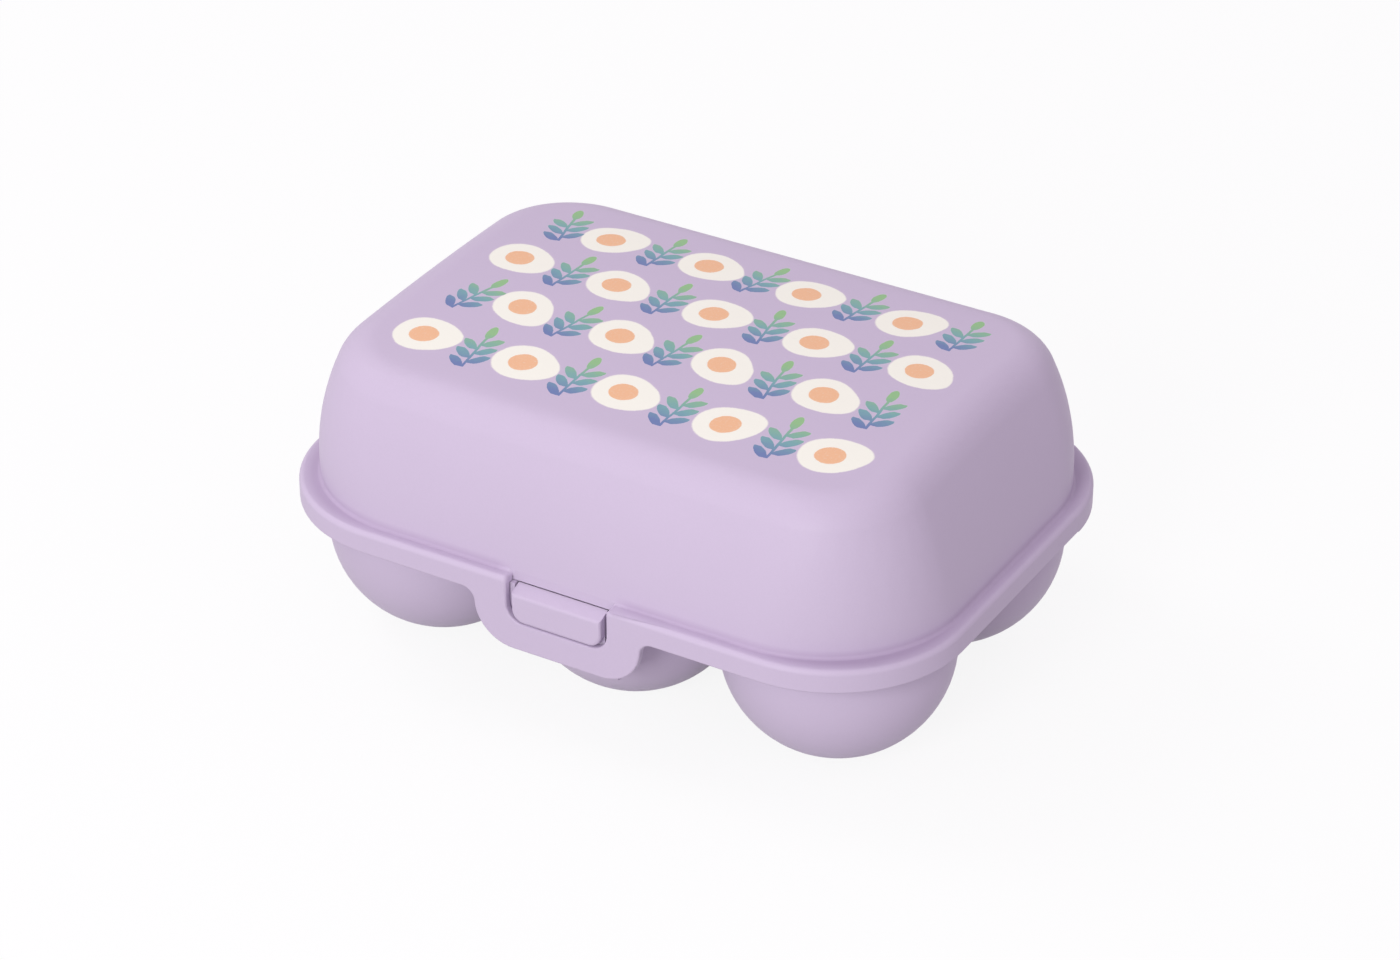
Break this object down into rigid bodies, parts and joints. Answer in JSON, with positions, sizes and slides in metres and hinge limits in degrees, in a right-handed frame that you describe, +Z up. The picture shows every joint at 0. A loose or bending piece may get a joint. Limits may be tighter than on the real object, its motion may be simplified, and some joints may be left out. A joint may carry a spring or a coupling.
{
  "type": "egg box",
  "caption": "Hinged plastic egg box with a domed lid, a press-button latch and a tray of round egg cups.",
  "frame": {"origin": "on the table, midway between the six cups' feet", "axes": "+X along the box, -Y out of the latch side, +Z up through the lid"},
  "size_m": [0.16, 0.1166, 0.0719],
  "materials": {
    "lid_plastic": "satin lavender moulding with a printed top",
    "tray_plastic": "satin lavender moulding",
    "latch_plastic": "satin lavender moulding",
    "pin_steel": "drawn wire"
  },
  "bodies": {
    "base": {"base_tray": "tray_plastic", "hinge_pin_left": "pin_steel", "hinge_pin_right": "pin_steel"},
    "lid": {"lid_shell": "lid_plastic"},
    "latch": {"latch_button": "latch_plastic"}
  },
  "joints": [
    {"name": "lid_hinge", "type": "hinge", "parent": "base", "child": "lid", "pos_m": [0, 0.0552, 0.02816], "axis": [-1, 0, 0], "range_deg": [0, 100]},
    {"name": "latch_press", "type": "hinge", "parent": "base", "child": "latch", "pos_m": [0, -0.0538, 0.01956], "axis": [-1, 0, 0], "range_deg": [0, 13], "stiffness_Nm_per_rad": 0.1}
  ]
}
